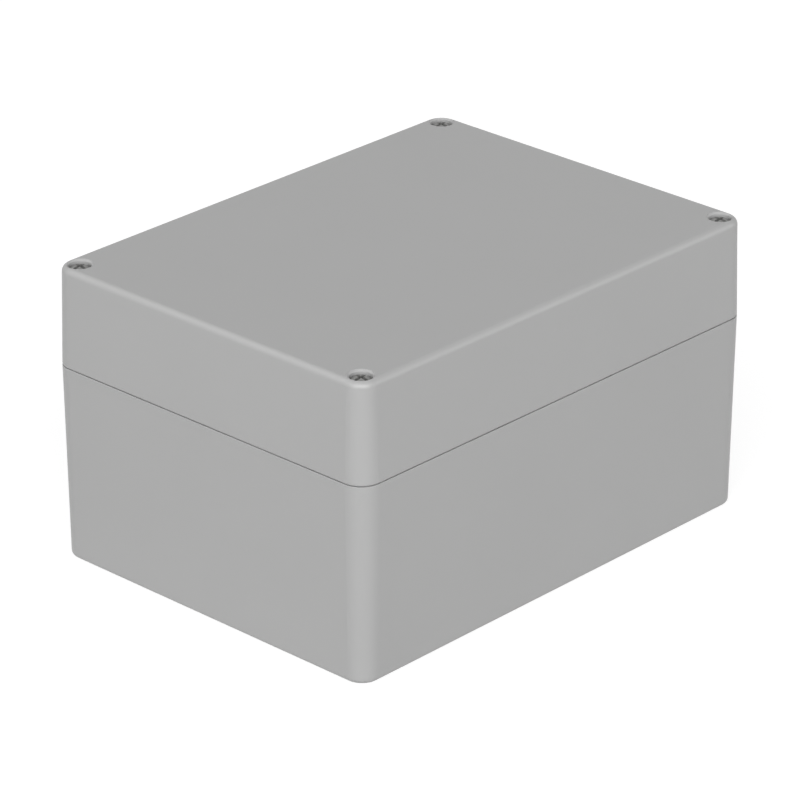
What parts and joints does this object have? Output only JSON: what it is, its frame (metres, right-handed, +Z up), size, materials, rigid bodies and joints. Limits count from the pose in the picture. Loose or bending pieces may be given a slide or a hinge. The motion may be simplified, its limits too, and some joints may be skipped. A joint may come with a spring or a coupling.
{
  "type": "polycarbonate enclosure",
  "caption": "Light grey rectangular polycarbonate enclosure: deep base and lift-off lid with a sealed joint, closed by recessed captive corner screws.",
  "frame": {"origin": "middle of the underside", "axes": "+X along the length, +Y along the width, +Z up from the underside to the lid"},
  "size_m": [0.16, 0.12, 0.09],
  "materials": {
    "shell": "light grey moulded polycarbonate with a fine semi-matt grain",
    "seal": "black soft rubber",
    "screw": "plain stainless steel",
    "ring": "natural nylon",
    "insert": "knurled brass"
  },
  "bodies": {
    "base": {"base": "shell", "insert_front_left": "insert", "insert_front_right": "insert", "insert_back_right": "insert", "insert_back_left": "insert"},
    "lid": {"lid": "shell", "gasket": "seal"},
    "ring_front_left": {"retaining_ring_front_left": "ring"},
    "screw_front_left": {"lid_screw_front_left": "screw"},
    "ring_front_right": {"retaining_ring_front_right": "ring"},
    "screw_front_right": {"lid_screw_front_right": "screw"},
    "ring_back_right": {"retaining_ring_back_right": "ring"},
    "screw_back_right": {"lid_screw_back_right": "screw"},
    "ring_back_left": {"retaining_ring_back_left": "ring"},
    "screw_back_left": {"lid_screw_back_left": "screw"}
  },
  "joints": [
    {"name": "lid_lift", "type": "slide", "parent": "base", "child": "lid", "axis": [0, 0, 1], "range_m": [0, 0.1]},
    {"name": "screw_rise_front_left", "type": "slide", "parent": "lid", "child": "ring_front_left", "axis": [0, 0, 1], "range_m": [0, 0.01]},
    {"name": "screw_turn_front_left", "type": "hinge", "parent": "ring_front_left", "child": "screw_front_left", "pos_m": [-0.074, -0.054, 0.06], "axis": [0, 0, 1], "range_deg": [0, 5143]},
    {"name": "screw_rise_front_right", "type": "slide", "parent": "lid", "child": "ring_front_right", "axis": [0, 0, 1], "range_m": [0, 0.01]},
    {"name": "screw_turn_front_right", "type": "hinge", "parent": "ring_front_right", "child": "screw_front_right", "pos_m": [0.074, -0.054, 0.06], "axis": [0, 0, 1], "range_deg": [0, 5143]},
    {"name": "screw_rise_back_right", "type": "slide", "parent": "lid", "child": "ring_back_right", "axis": [0, 0, 1], "range_m": [0, 0.01]},
    {"name": "screw_turn_back_right", "type": "hinge", "parent": "ring_back_right", "child": "screw_back_right", "pos_m": [0.074, 0.054, 0.06], "axis": [0, 0, 1], "range_deg": [0, 5143]},
    {"name": "screw_rise_back_left", "type": "slide", "parent": "lid", "child": "ring_back_left", "axis": [0, 0, 1], "range_m": [0, 0.01]},
    {"name": "screw_turn_back_left", "type": "hinge", "parent": "ring_back_left", "child": "screw_back_left", "pos_m": [-0.074, 0.054, 0.06], "axis": [0, 0, 1], "range_deg": [0, 5143]}
  ],
  "couplings": [
    {"joint": "screw_turn_front_left", "follows": "screw_rise_front_left", "rad_per_m": 8976},
    {"joint": "screw_turn_front_right", "follows": "screw_rise_front_right", "rad_per_m": 8976},
    {"joint": "screw_turn_back_right", "follows": "screw_rise_back_right", "rad_per_m": 8976},
    {"joint": "screw_turn_back_left", "follows": "screw_rise_back_left", "rad_per_m": 8976}
  ]
}
